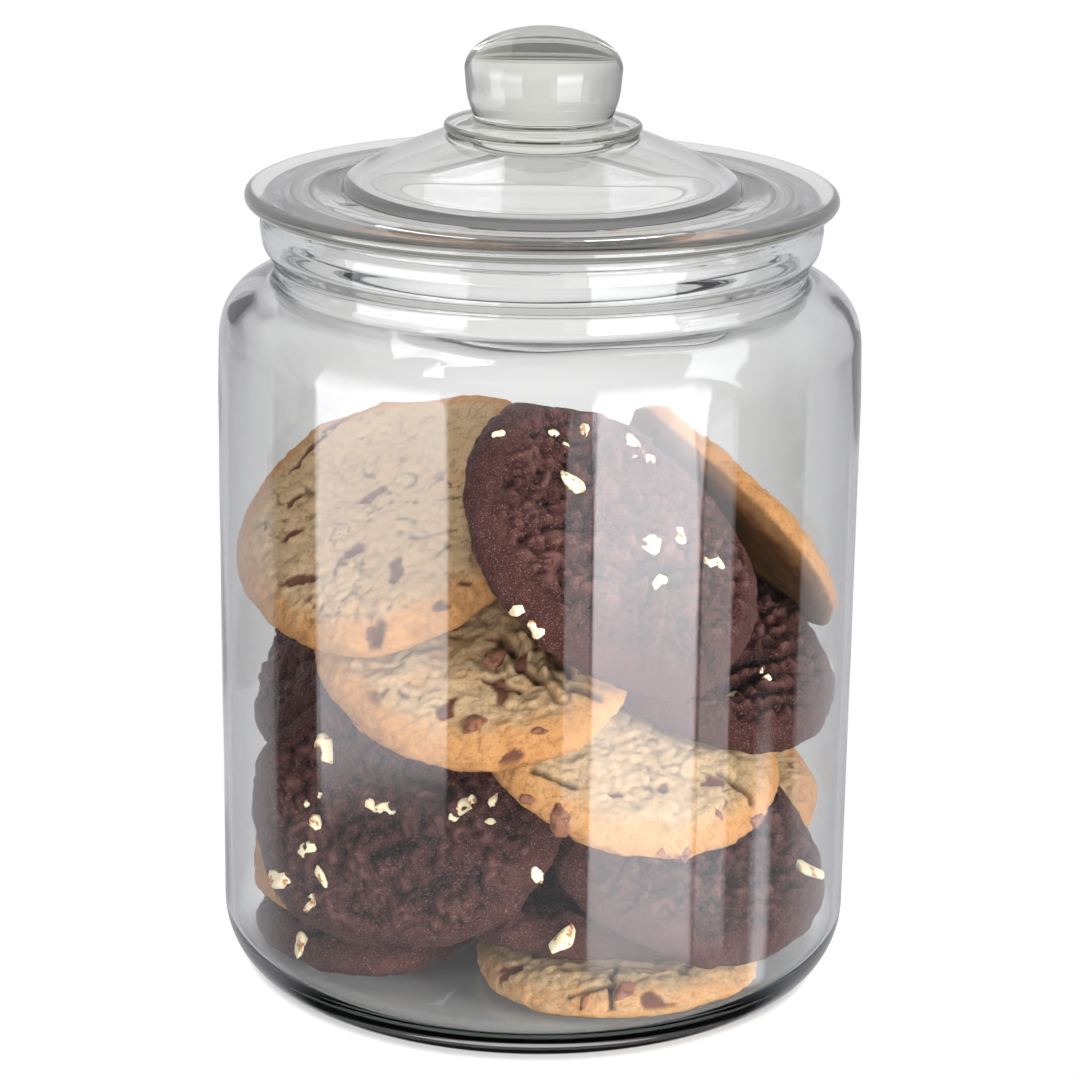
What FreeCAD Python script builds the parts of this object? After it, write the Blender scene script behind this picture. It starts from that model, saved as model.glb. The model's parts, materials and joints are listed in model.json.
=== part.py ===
"""Glass storage jar with a knobbed glass lid, filled with large bakery cookies.

Millimetres, +Z up.  The origin is the middle of the foot on the surface that the jar stands on,
and -Y is the front, towards which the cookies on show lean.
"""
import FreeCAD
import Part
import math
import os
from collections import namedtuple

V = FreeCAD.Vector
UP = V(0, 0, 1)

# ---- jar body -----------------------------------------------------------------------------
BODY_R = 92.5            # outside of the straight wall
WALL = 2.4               # straight wall and shoulder
FOOT_R = 78.0            # outer edge of the ring that the jar stands on
FOOT_IN_R = 70.0         # inner edge of that ring
PUSH_UP = 1.4            # hollow under the base
HEEL_H = 18.1            # height of the rounded heel
FLOOR_Z = 4.8            # inside floor
INNER_HEEL = 13.0        # inside rounding between floor and wall
SHOULDER_Z = 188.8       # top of the straight wall
SHOULDER_H = 16.3        # height of the rounded shoulder
NECK_R = 76.2            # outside of the neck
NECK_Z = 208.0           # top of the plain neck
BEAD_R = 80.2            # widest part of the bead round the mouth
BEAD_Z = 220.5
BEAD_H = 5.6             # half height of the bead, above its widest ring
MOUTH_R = 72.6           # inside of the neck and mouth
LIP_Z = 226.8            # the lip that the lid rests on
LIP_R = 76.6             # outer edge of the lip's flat top

# ---- lid ----------------------------------------------------------------------------------
LID_Z = LIP_Z + 0.05     # underside of the brim
BRIM_R = 84.3
BRIM_T = 4.7             # thickness of the brim at its edge
RING_R = 63.4            # low ring where the brim turns down to the valley
VALLEY_DROP = 0.9        # depth of the valley under the ring
DOME_R = 57.5            # foot of the dome
DOME_TOP_Z = 247.4       # dome just under the collar
COLLAR_R = 28.1          # thin collar under the knob
COLLAR_T = 2.6
GLASS_T = 4.4            # thickness of the dome
SKIRT_R = 70.4           # outside of the skirt that centres the lid in the mouth
SKIRT_T = 3.6
SKIRT_Z = 219.6          # lower edge of the skirt
KNOB_FOOT_R = 19.6
KNOB_R = 22.3            # widest part of the knob
KNOB_WIDE_Z = 264.9
KNOB_TOP_Z = 276.5

# ---- cookies ------------------------------------------------------------------------------
COOKIE_T = 13.2          # thickness over the dome
HALF_UP = 0.45           # the pose point stands this share of the thickness above the underside
# Rings of one cookie from its underside to its crown: share of the radius, share of the height.
RINGS = [(0.86, 0.0), (0.965, 0.12), (1.0, 0.30), (0.985, 0.52), (0.90, 0.80), (0.74, 0.94), (0.46, 1.0)]
WOBBLE = 0.011           # how far a cookie's outline wanders, as a share of its radius
OUTLINE_POINTS = 20
GOLDEN_ANGLE = 137.5     # turns the wander of each cookie's outline away from the last one's

# Where each cookie lies: its middle, how far its crown leans away from straight up, the compass
# direction that the crown then faces (-90 is the front), its turn about its own axis, and its
# half width and half depth.
Cookie = namedtuple("Cookie", "x y z lean faces turn wide deep")
COOKIES = {
    "cookie_01": Cookie(-41, -27, 140, 38, -118, 17, 45.5, 46.5),
    "cookie_02": Cookie(21, -48, 139, 44, -45, 13, 48.0, 45.0),
    "cookie_03": Cookie(58, 18, 129, 51, 26, 2, 41.0, 43.5),
    "cookie_04": Cookie(47, -17, 100.5, 28, -47, -37, 39.5, 42.5),
    "cookie_05": Cookie(-17, -44, 110, 32, -95, -30, 43.0, 46.5),
    "cookie_06": Cookie(26, -45, 81, 30, -51, -7, 41.0, 46.0),
    "cookie_07": Cookie(-56, 15, 96, 47, -166, 122, 39.0, 43.0),
    "cookie_08": Cookie(-37, -43, 57, 75, -103, 10, 39.0, 46.5),
    "cookie_09": Cookie(-48, 4, 38, 23, -143, 42, 45.5, 39.5),
    "cookie_10": Cookie(-48, -4, 11, 0, -24, 17, 35.0, 41.0),
    "cookie_11": Cookie(43, -32, 45.6, 35, -60, 150, 41.5, 42.0),
    "cookie_12": Cookie(15, -21, 25.8, 3, -54, -17, 41.5, 43.0),
    "cookie_13": Cookie(25, -31, 10.8, 0, -50, 8, 42.0, 42.5),
    "cookie_14": Cookie(44, 13, 51, 26, -61, 60, 43.5, 40.0),
    "cookie_15": Cookie(5, 49, 14, 2, 51, 58, 38.0, 37.0),
    "cookie_16": Cookie(11, 47, 39, 2, 163, 141, 39.5, 39.0),
    "cookie_17": Cookie(-37, 22, 63, 4, -123, 107, 39.0, 40.0),
    "cookie_18": Cookie(48, 20, 75, 7, -7, 60, 37.5, 38.5),
    "cookie_19": Cookie(-28, 34, 78, 1, -22, 129, 39.0, 39.0),
    "cookie_20": Cookie(21, 37, 91, 0, 39, 47, 39.0, 38.5),
    "cookie_21": Cookie(4, 41, 105, 1, 171, 49, 40.0, 39.5),
    "cookie_22": Cookie(-7, 48, 128, 21, 90, 78, 39.5, 41.0),
}


def at(radius, height):
    """A point of a turned profile."""
    return V(radius, 0, height)


def line(a, b):
    """A straight edge of a profile."""
    return Part.makeLine(at(*a), at(*b))


def quarter(a, corner, b):
    """A quarter of an ellipse from a to b, rounding the given corner."""
    curve = Part.BezierCurve()
    curve.setPoles([at(*a), at(*corner), at(*b)])
    curve.setWeight(2, math.sqrt(0.5))
    return curve.toShape()


def sweep(*points):
    """A smooth curve through a few points of a profile."""
    curve = Part.BSplineCurve()
    curve.interpolate([at(*p) for p in points])
    return curve.toShape()


def turned(edges):
    """Turn a closed profile round the upright axis."""
    face = Part.Face(Part.Wire(edges))
    solid = face.revolve(V(0, 0, 0), UP, 360)
    return Part.Solid(solid) if solid.ShapeType == "Shell" else solid


def jar_body():
    """The jar: push-up base, rounded heel, straight wall, shoulder, neck and beaded mouth."""
    inner_r = BODY_R - WALL
    crown_z = SHOULDER_Z + SHOULDER_H
    bead_under = (NECK_R, NECK_Z)
    bead_side = (BEAD_R, BEAD_Z)
    bead_top = (BEAD_R - 1.2, BEAD_Z + BEAD_H - 1.6)
    under_crown = crown_z - WALL
    outside = [
        sweep((0, PUSH_UP), (FOOT_IN_R * 0.6, PUSH_UP * 0.8), (FOOT_IN_R, 0)),
        line((FOOT_IN_R, 0), (FOOT_R, 0)),
        quarter((FOOT_R, 0), (BODY_R, 0), (BODY_R, HEEL_H)),
        line((BODY_R, HEEL_H), (BODY_R, SHOULDER_Z)),
        quarter((BODY_R, SHOULDER_Z), (BODY_R, crown_z), (NECK_R + 1.4, crown_z)),
        quarter((NECK_R + 1.4, crown_z), (NECK_R, crown_z), bead_under),
        sweep(bead_under, (NECK_R + 0.5, NECK_Z + 3.4), (BEAD_R - 1.0, BEAD_Z - 5.4), bead_side),
        sweep(bead_side, (BEAD_R - 0.2, BEAD_Z + 2.2), bead_top),
        quarter(bead_top, (bead_top[0], LIP_Z), (LIP_R, LIP_Z)),
    ]
    mouth = [
        line((LIP_R, LIP_Z), (MOUTH_R + 1.6, LIP_Z)),
        quarter((MOUTH_R + 1.6, LIP_Z), (MOUTH_R, LIP_Z), (MOUTH_R, LIP_Z - 1.6)),
        line((MOUTH_R, LIP_Z - 1.6), (MOUTH_R, crown_z + 0.6)),
    ]
    inside = [
        quarter((MOUTH_R, crown_z + 0.6), (MOUTH_R, under_crown), (MOUTH_R + 3.2, under_crown)),
        quarter((MOUTH_R + 3.2, under_crown), (inner_r, under_crown), (inner_r, SHOULDER_Z)),
        line((inner_r, SHOULDER_Z), (inner_r, FLOOR_Z + INNER_HEEL)),
        quarter((inner_r, FLOOR_Z + INNER_HEEL), (inner_r, FLOOR_Z), (inner_r - INNER_HEEL, FLOOR_Z)),
        line((inner_r - INNER_HEEL, FLOOR_Z), (0, FLOOR_Z)),
        line((0, FLOOR_Z), (0, PUSH_UP)),
    ]
    return turned(outside + mouth + inside)


def lid():
    """The lid: solid knob, collar, hollow dome, brim with a rolled edge, and centring skirt."""
    collar_z = DOME_TOP_Z + COLLAR_T
    brim_z = LID_Z + BRIM_T
    half = BRIM_T / 2
    valley_z = brim_z - VALLEY_DROP
    skirt_in = SKIRT_R - SKIRT_T
    dome_mid = (DOME_R * 0.76, valley_z + (DOME_TOP_Z - valley_z) * 0.58)
    dome_low = (DOME_R * 0.95, valley_z + (DOME_TOP_Z - valley_z) * 0.24)
    under_z = DOME_TOP_Z - GLASS_T
    knob = [
        quarter((0, KNOB_TOP_Z), (KNOB_R, KNOB_TOP_Z), (KNOB_R, KNOB_WIDE_Z)),
        sweep((KNOB_R, KNOB_WIDE_Z), (KNOB_R - 0.8, KNOB_WIDE_Z - 7.6), (KNOB_FOOT_R, collar_z + 1.4)),
        quarter((KNOB_FOOT_R, collar_z + 1.4), (KNOB_FOOT_R, collar_z), (KNOB_FOOT_R + 1.8, collar_z)),
        line((KNOB_FOOT_R + 1.8, collar_z), (COLLAR_R - 1.3, collar_z)),
        quarter((COLLAR_R - 1.3, collar_z), (COLLAR_R, collar_z), (COLLAR_R, collar_z - 1.3)),
        quarter((COLLAR_R, collar_z - 1.3), (COLLAR_R, DOME_TOP_Z), (COLLAR_R - 1.5, DOME_TOP_Z)),
    ]
    top = [
        sweep((COLLAR_R - 1.5, DOME_TOP_Z), dome_mid, dome_low, (DOME_R, valley_z)),
        sweep((DOME_R, valley_z), (DOME_R + 3.2, valley_z + 0.1), (RING_R, brim_z - 0.1)),
        sweep((RING_R, brim_z - 0.1), (RING_R + 8, brim_z - 0.25), (BRIM_R - half, brim_z)),
        quarter((BRIM_R - half, brim_z), (BRIM_R, brim_z), (BRIM_R, LID_Z + half)),
        quarter((BRIM_R, LID_Z + half), (BRIM_R, LID_Z), (BRIM_R - half, LID_Z)),
    ]
    underside = [
        line((BRIM_R - half, LID_Z), (SKIRT_R + 1.2, LID_Z)),
        quarter((SKIRT_R + 1.2, LID_Z), (SKIRT_R, LID_Z), (SKIRT_R, LID_Z - 1.2)),
        line((SKIRT_R, LID_Z - 1.2), (SKIRT_R, SKIRT_Z + 1.4)),
        quarter((SKIRT_R, SKIRT_Z + 1.4), (SKIRT_R, SKIRT_Z), (SKIRT_R - SKIRT_T / 2, SKIRT_Z)),
        quarter((SKIRT_R - SKIRT_T / 2, SKIRT_Z), (skirt_in, SKIRT_Z), (skirt_in, SKIRT_Z + 1.4)),
        line((skirt_in, SKIRT_Z + 1.4), (skirt_in, LID_Z - 1.0)),
        quarter((skirt_in, LID_Z - 1.0), (skirt_in, LID_Z + 0.4), (skirt_in - 2.4, LID_Z + 0.4)),
        sweep((skirt_in - 2.4, LID_Z + 0.4), (DOME_R + 1.0, LID_Z + 1.0), (DOME_R - 5.4, LID_Z + 4.2),
              (dome_mid[0] - 1.8, dome_mid[1] - 4.0), (COLLAR_R - 2.6, under_z)),
        line((COLLAR_R - 2.6, under_z), (0, under_z)),
        line((0, under_z), (0, KNOB_TOP_Z)),
    ]
    return turned(knob + top + underside)


def cookie(number, pose):
    """A cookie with a flat underside, a rounded edge, a low crown and an outline of its own."""
    lag = math.radians(GOLDEN_ANGLE * number)
    sections = []
    for share_r, share_h in RINGS:
        points = []
        for i in range(OUTLINE_POINTS):
            turn = 2 * math.pi * i / OUTLINE_POINTS
            wander = 1 + WOBBLE * (math.cos(3 * turn - lag) + 0.8 * math.cos(5 * turn - 2 * lag))
            wide = pose.wide * share_r * wander * math.cos(turn)
            deep = pose.deep * share_r * wander * math.sin(turn)
            points.append(V(wide, deep, (share_h - HALF_UP) * COOKIE_T))
        ring = Part.BSplineCurve()
        ring.interpolate(Points=points, PeriodicFlag=True)
        sections.append(Part.Wire(ring.toShape()))
    solid = Part.makeLoft(sections, True, False)
    turn = FreeCAD.Rotation(UP, pose.turn)
    lean = FreeCAD.Rotation(V(0, 1, 0), pose.lean)
    face = FreeCAD.Rotation(UP, pose.faces)
    solid.Placement = FreeCAD.Placement(V(pose.x, pose.y, pose.z), face * lean * turn)
    return solid


def main():
    pieces = {"jar_body": jar_body(), "lid": lid()}
    for number, (name, pose) in enumerate(COOKIES.items()):
        pieces[name] = cookie(number, pose)
    os.makedirs("parts", exist_ok=True)
    for name, shape in pieces.items():
        print(name, shape.ShapeType, shape.isValid(), round(shape.Volume / 1000, 1), "cm3")
        shape.exportStep("parts/" + name + ".step")


main()
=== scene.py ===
"""Glass jar of cookies: turned clear glass, and cookies with real crumb, cracks, chips and chunks."""
import itertools
import json
import math
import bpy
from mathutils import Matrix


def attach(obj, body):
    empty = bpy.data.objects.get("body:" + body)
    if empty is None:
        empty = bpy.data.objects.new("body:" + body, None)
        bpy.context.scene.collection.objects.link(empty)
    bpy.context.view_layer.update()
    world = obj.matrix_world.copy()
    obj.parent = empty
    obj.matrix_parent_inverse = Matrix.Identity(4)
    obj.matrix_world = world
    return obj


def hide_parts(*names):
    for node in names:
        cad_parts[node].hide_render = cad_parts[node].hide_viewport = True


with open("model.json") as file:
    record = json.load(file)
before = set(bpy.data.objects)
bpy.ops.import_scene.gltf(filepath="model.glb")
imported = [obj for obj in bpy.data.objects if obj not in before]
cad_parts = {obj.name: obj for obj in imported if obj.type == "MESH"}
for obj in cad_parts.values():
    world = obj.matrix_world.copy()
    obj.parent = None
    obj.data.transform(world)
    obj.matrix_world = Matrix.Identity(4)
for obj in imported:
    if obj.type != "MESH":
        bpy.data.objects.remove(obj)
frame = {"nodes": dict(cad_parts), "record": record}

from types import SimpleNamespace

import bmesh
import bpy
import numpy as np
from mathutils import Matrix, Vector

MM = 0.001
TINY = 1e-6
scene = bpy.context.scene
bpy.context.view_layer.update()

# ---- noise --------------------------------------------------------------------------------

CELLS = 4096
PRIMES = (73856093, 19349663, 83492791)


def lattice_noise(p, size, seed):
    """Smooth value noise from -1 to 1 at the points p (mm), with features of about size mm."""
    rng = np.random.default_rng(seed)
    table = rng.random(CELLS) * 2 - 1
    tilt = np.linalg.qr(rng.normal(size=(3, 3)))[0]
    q = p @ tilt / size + seed * 7.31
    cell = np.floor(q).astype(np.int64)
    f = q - cell
    u = f * f * (3 - 2 * f)
    out = np.zeros(len(p))
    for corner in itertools.product((0, 1), repeat=3):
        key, weight = 0, 1
        for axis, prime in enumerate(PRIMES):
            key = key ^ ((cell[:, axis] + corner[axis]) * prime)
            weight = weight * np.abs(1 - corner[axis] - u[:, axis])
        out += table[key & (CELLS - 1)] * weight
    return out


def step(lo, hi, x):
    """0 before lo and 1 past hi, with a smooth rise between them. It falls where hi is below lo."""
    t = np.clip((x - lo) / (hi - lo), 0, 1)
    return t * t * (3 - 2 * t)


# ---- node helpers -------------------------------------------------------------------------


def new_material(name):
    m = bpy.data.materials.new(name)
    m.use_nodes = True
    m.node_tree.nodes.clear()
    return m, m.node_tree


def node(tree, kind, inputs=None, **props):
    """A node with its inputs linked, where they are sockets, or set."""
    n = tree.nodes.new(kind)
    for k, v in props.items():
        setattr(n, k, v)
    for k, v in (inputs or {}).items():
        if isinstance(v, bpy.types.NodeSocket):
            tree.links.new(v, n.inputs[k])
        else:
            n.inputs[k].default_value = v
    return n


def arithmetic(tree, operation, *values):
    return node(tree, "ShaderNodeMath", dict(enumerate(values)), operation=operation).outputs[0]


def times(tree, a, b):
    return arithmetic(tree, "MULTIPLY", a, b)


def plus(tree, a, b):
    return arithmetic(tree, "ADD", a, b)


def mix(tree, factor, a, b):
    """Colour a where the factor is 0, and b where it is 1."""
    return node(tree, "ShaderNodeMix", {0: factor, 6: a, 7: b}, data_type="RGBA").outputs[2]


def blend(tree, factor, a, b):
    """Number a where the factor is 0, and b where it is 1."""
    return node(tree, "ShaderNodeMix", {0: factor, 2: a, 3: b}, data_type="FLOAT").outputs[0]


def slope(tree, value, lo, hi, a=0.0, b=1.0, shape="LINEAR"):
    """a before lo and b past hi, with a straight rise between them."""
    ends = {0: value, 1: lo, 2: hi, 3: a, 4: b}
    return node(tree, "ShaderNodeMapRange", ends, interpolation_type=shape).outputs[0]


def ramp(tree, value, lo, hi, a=0.0, b=1.0):
    """a before lo and b past hi, with a smooth rise between them."""
    return slope(tree, value, lo, hi, a, b, "SMOOTHSTEP")


def place_on(tree):
    return node(tree, "ShaderNodeTexCoord").outputs["Object"]


def attribute(tree, name):
    return node(tree, "ShaderNodeAttribute", attribute_name=name).outputs["Fac"]


def noise(tree, scale, detail, roughness):
    settings = {"Vector": place_on(tree), "Scale": scale, "Detail": detail, "Roughness": roughness}
    return node(tree, "ShaderNodeTexNoise", settings).outputs[0]


def after(tree, kind, count):
    """1 for light mirrored (Glossy) or scattered (Diffuse) at least count times, and else 0."""
    depth = node(tree, "ShaderNodeLightPath").outputs[kind + " Depth"]
    return ramp(tree, depth, count - 0.6, count - 0.4)


def grey(level):
    return (level, level, level, 1)


def srgb(r, g, b):
    def lin(c):
        c /= 255
        return c / 12.92 if c <= 0.04045 else ((c + 0.055) / 1.055) ** 2.4
    return (lin(r), lin(g), lin(b), 1)


# ---- sizes of the glass (mm) --------------------------------------------------------------

BODY_R = 92.5
WALL = 2.4
FOOT_R = 78.0
FOOT_IN_R = 70.0
PUSH_UP = 1.4
HEEL_H = 18.1
FLOOR_Z = 4.8
INNER_HEEL = 13.0
SHOULDER_Z = 188.8
SHOULDER_H = 16.3
NECK_R = 76.2
NECK_Z = 208.0
BEAD_R = 80.2
BEAD_Z = 220.5
BEAD_H = 5.6
MOUTH_R = 72.6
LIP_Z = 226.8
LIP_R = 76.6
LID_Z = LIP_Z + 0.05
BRIM_R = 84.3
BRIM_T = 4.7
RING_R = 63.4
VALLEY_DROP = 0.9
DOME_R = 57.5
DOME_TOP_Z = 247.4
COLLAR_R = 28.1
COLLAR_T = 2.6
GLASS_T = 4.4
SKIRT_R = 70.4
SKIRT_T = 3.6
SKIRT_Z = 219.6
KNOB_FOOT_R = 19.6
KNOB_R = 22.3
KNOB_WIDE_Z = 264.9
KNOB_TOP_Z = 276.5
# Roundings between the main forms.
NECK_ROUND = 1.4
MOUTH_ROUND = 1.6
UNDER_ROUND = 3.2
KNOB_FOOT_H = 1.4
KNOB_FOOT_ROUND = 1.8
COLLAR_ROUND = 1.3
COLLAR_STEP = 1.5
SKIRT_TOP_ROUND = 1.2
SKIRT_END_ROUND = 1.4
HOLLOW_ROUND = 2.4
# Steps round the turned glass, along its upright walls, its large curves and its small ones.
SEGMENTS = 192
WALL_STEPS = 12
LARGE_STEPS = 20
HEEL_STEPS = 18
SMALL_STEPS = 6
SHARP = math.radians(35)

# ---- materials ----------------------------------------------------------------------------

IOR = 1.5
SHADOW_TINT = grey(0.96)
INSIDE_TINT = grey(0.98)
# Painted shade where the knob is seen on edge, and the knob's colour where it faces the eye.
KNOB_PAINTED_SHADE = (0.45, 0.45, 0.47, 1)
KNOB_FACE = (0.92, 0.92, 0.93, 1)
# The knob's solid glass (m): its foot, then how far up it is full, its sides end and its crown starts. The
# painted shade on its sides stops at its crown.
KNOB_STARTS = (DOME_TOP_Z + COLLAR_T + 0.5) * MM
KNOB_BLEND = 0.003
KNOB_SIDES = 0.0145
KNOB_CROWN = 0.0205
NOT_SOLID = 1.0


def glass(name, colour, painted_edge_shade, depth_colour, density, solid_above=NOT_SOLID, escapes=False):
    """Clear glass that lets light through, with painted shade where it is seen on edge, and darker where it
    is thick.

    Above the height solid_above (m) it is a solid knob, whose sides have darker painted shade. Where it
    escapes, light that was mirrored twice inside the glass goes straight on.
    """
    m, t = new_material(name)
    slant = node(t, "ShaderNodeLayerWeight", {"Blend": 0.5}).outputs["Facing"]
    height = node(t, "ShaderNodeSeparateXYZ", {0: place_on(t)}).outputs[2]
    full = ramp(t, height, solid_above, solid_above + KNOB_BLEND, 0.9, 0.75)
    # Painted shade: the glass turns grey where it is seen on edge, and darker on the knob's sides.
    slanted = slope(t, slant, 0.0, full)
    sides = ramp(t, height, solid_above + KNOB_SIDES, solid_above + KNOB_CROWN, 1.0, 0.0)
    solid = ramp(t, height, solid_above, solid_above + KNOB_BLEND, 0.0, sides)
    outside = mix(t, slanted, mix(t, solid, colour, KNOB_FACE), mix(t, solid, painted_edge_shade, KNOB_PAINTED_SHADE))
    tint = mix(t, after(t, "Glossy", 1), outside, INSIDE_TINT)
    bent = node(t, "ShaderNodeBsdfGlass", {"Color": tint, "Roughness": 0.0, "IOR": IOR})
    clear = node(t, "ShaderNodeBsdfTransparent", {"Color": SHADOW_TINT})
    through = node(t, "ShaderNodeLightPath").outputs["Is Shadow Ray"]
    if escapes:
        through = arithmetic(t, "MAXIMUM", through, after(t, "Glossy", 2))
    both = node(t, "ShaderNodeMixShader", {0: through, 1: bent.outputs[0], 2: clear.outputs[0]})
    soak = node(t, "ShaderNodeVolumeAbsorption", {"Color": depth_colour, "Density": density})
    node(t, "ShaderNodeOutputMaterial", {"Surface": both.outputs[0], "Volume": soak.outputs[0]})
    return m


# Colour of the painted glints: pale specks that stand in for light sparkling on the dark crust.
GLINT_COLOUR = srgb(196, 160, 156)
BLOTCH = 0.55
# Scale, detail and roughness of the patterns in the dough and in the chocolate.
BLOTCHES = (260.0, 4.0, 0.65)
FINE_GRAIN = (1500.0, 6.0, 0.8)
GLINT_GRAIN = (2300.0, 2.0, 0.7)
TOASTED = (420.0, 3.0, 0.6)
DOUGH_BUMP = 0.0008
CHIP_BUMP = 0.0003


def baked_dough(t, fine, low, mid, high, grain):
    """Dough by the shade kept in the mesh, baked tone with painted light and shade, with blotches and a fine
    dark grain that is painted shade in the low points of the bump.
    """
    shift = arithmetic(t, "SUBTRACT", noise(t, *BLOTCHES), 0.5)
    baked = arithmetic(t, "MULTIPLY_ADD", shift, BLOTCH, attribute(t, "shade"))
    below = mix(t, ramp(t, baked, 0.0, 0.5), low, mid)
    dry = mix(t, ramp(t, baked, 0.5, 1.0), below, high)
    # Painted shade: the grain darkens the low points of the bump.
    return mix(t, ramp(t, fine, 0.30, 0.60, grain, 0.0), dry, low)


def pitted(t, fine, crown):
    """Where the dough is dark: the painted shade and browning kept in the mesh, and specks of painted crumb
    shade, most on the crown.
    """
    scatter = ramp(t, crown, 0.0, 1.0, 0.25, 0.7)
    # Painted shade: dark specks, as crumb shade.
    specks = times(t, ramp(t, fine, 0.57, 0.68), scatter)
    return arithmetic(t, "MAXIMUM", attribute(t, "pit"), specks)


def dough(name, low, mid, high, deep, chip, rough, crown_rough, grain, gloss, glint):
    """Baked dough, from its darkest (low) to its palest (high), with pits and specks of painted shade
    (deep), chips and painted glints.
    """
    m, t = new_material(name)
    crown = attribute(t, "crown")
    fine = noise(t, *FINE_GRAIN)
    # deep is the colour of the painted shade.
    darker = mix(t, pitted(t, fine, crown), baked_dough(t, fine, low, mid, high, grain), deep)
    # Painted glints over the dough.
    sparkle = ramp(t, noise(t, *GLINT_GRAIN), 0.56, 0.70, 0.0, glint)
    coloured = mix(t, attribute(t, "choc"), mix(t, sparkle, darker, GLINT_COLOUR), chip)
    bump = node(t, "ShaderNodeBump", {"Strength": 1.0, "Distance": DOUGH_BUMP, "Height": fine})
    p = node(t, "ShaderNodeBsdfPrincipled", {
        "Base Color": coloured, "Roughness": slope(t, crown, 0.0, 1.0, rough, crown_rough),
        "Specular IOR Level": gloss, "Normal": bump.outputs[0]})
    node(t, "ShaderNodeOutputMaterial", {"Surface": p.outputs[0]})
    return m


def lump(name, colour, toast, rough, share):
    """Chocolate: one colour with darker toasted patches."""
    m, t = new_material(name)
    patches = noise(t, *TOASTED)
    c = mix(t, ramp(t, patches, share, share + 0.09), colour, toast)
    b = node(t, "ShaderNodeBump", {"Strength": 0.3, "Distance": CHIP_BUMP, "Height": patches})
    p = node(t, "ShaderNodeBsdfPrincipled", {"Base Color": c, "Roughness": rough, "Normal": b.outputs[0]})
    node(t, "ShaderNodeOutputMaterial", {"Surface": p.outputs[0]})
    return m


# Each edge colour is painted shade where the glass is seen on edge.
JAR_GLASS = glass("jar_glass", colour=(0.982, 0.982, 0.980, 1), painted_edge_shade=grey(0.70),
                  depth_colour=(0.64, 0.70, 0.66, 1), density=12.0)
LID_GLASS = glass("lid_glass", colour=(0.955, 0.955, 0.960, 1), painted_edge_shade=(0.80, 0.80, 0.78, 1),
                  depth_colour=(0.74, 0.75, 0.62, 1), density=14.0, solid_above=KNOB_STARTS, escapes=True)
# In each dough, deep is the colour of its painted shade.
GOLDEN = dough("golden_cookie", low=srgb(150, 92, 50), mid=srgb(216, 162, 108), high=srgb(212, 185, 146),
               deep=srgb(80, 56, 36), chip=srgb(112, 74, 60), rough=0.75, crown_rough=0.8, grain=0.55,
               gloss=0.12, glint=0.0)
# The dark dough has painted glints over its crust.
DARK = dough("dark_cookie", low=srgb(32, 14, 12), mid=srgb(74, 43, 39), high=srgb(112, 76, 70),
             deep=srgb(12, 5, 4), chip=srgb(60, 32, 28), rough=0.5, crown_rough=0.32, grain=0.6,
             gloss=0.28, glint=0.55)
MILK = lump("milk_chip", srgb(130, 88, 68), srgb(92, 56, 42), rough=0.45, share=0.5)
CREAM = lump("white_chunk", srgb(240, 226, 190), srgb(176, 116, 70), rough=0.6, share=0.54)

# ---- glass --------------------------------------------------------------------------------


def quarter(a, corner, b, n=10):
    """A quarter of an ellipse from a to b, rounding the given corner."""
    out = []
    for k in range(n + 1):
        s = math.radians(90 * k / n)
        u, v = 1 - math.cos(s), math.sin(s)
        out.append(tuple(a[j] + (corner[j] - a[j]) * v + (b[j] - corner[j]) * u for j in (0, 1)))
    return out


def sweep(*points, n=7):
    """A smooth curve through a few points, with n steps between each two."""
    p = [np.array(q, float) for q in points]
    p = [2 * p[0] - p[1]] + p + [2 * p[-1] - p[-2]]
    out = []
    for k in range(1, len(p) - 2):
        for s in np.linspace(0, 1, n, endpoint=False):
            a, b, c, d = p[k - 1:k + 3]
            q = b + 0.5 * s * (c - a + s * (2 * a - 5 * b + 4 * c - d + s * (3 * (b - c) + d - a)))
            out.append(tuple(q))
    return out + [tuple(p[-2])]


# The moulded glass strays from round by this much all over and more at the shoulder (mm), in long
# and short waves (mm) round a nominal radius. It is true at the foot.
STRAY, SHOULDER_STRAY = 0.10, 0.5
LONG_WAVE, SHORT_WAVE = 34, 15
WAVE_R = 92
TRUE_BELOW, FULL_ABOVE = 20, 40
# A profile's share of points on the outside.
OUTSIDE_SHARE = 0.55


def sag(turn, z, inside):
    """How far the glass is off round (mm) at one height, most of it at the shoulder."""
    shoulder = step(SHOULDER_Z - 14, SHOULDER_Z + 8, z)
    amount = STRAY + SHOULDER_STRAY * shoulder * step(NECK_Z, SHOULDER_Z + 12, z)
    around = np.stack((WAVE_R * np.cos(turn), WAVE_R * np.sin(turn), 2.2 * z + 0 * turn), 1)
    wave = lattice_noise(around, LONG_WAVE, 5 + inside)
    wave = wave + 0.5 * lattice_noise(around, SHORT_WAVE, 7 + inside)
    return amount * (wave if inside else wave - 1.2) * step(TRUE_BELOW, FULL_ABOVE, z)


def linked(name, data):
    """An object in the scene, made of a mesh, a lamp or a camera."""
    obj = bpy.data.objects.new(name, data)
    scene.collection.objects.link(obj)
    return obj


def stitched(rings):
    """Faces between each ring of points and the next. A ring of one point is on the axis."""
    faces = []
    for a, b in zip(rings, rings[1:]):
        for k in range(SEGMENTS):
            j = (k + 1) % SEGMENTS
            if len(a) == 1 and len(b) > 1:
                faces.append((a[0], b[j], b[k]))
            elif len(b) == 1 and len(a) > 1:
                faces.append((a[k], a[j], b[0]))
            elif len(a) > 1:
                faces.append((a[k], a[j], b[j], b[k]))
    return faces


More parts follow.
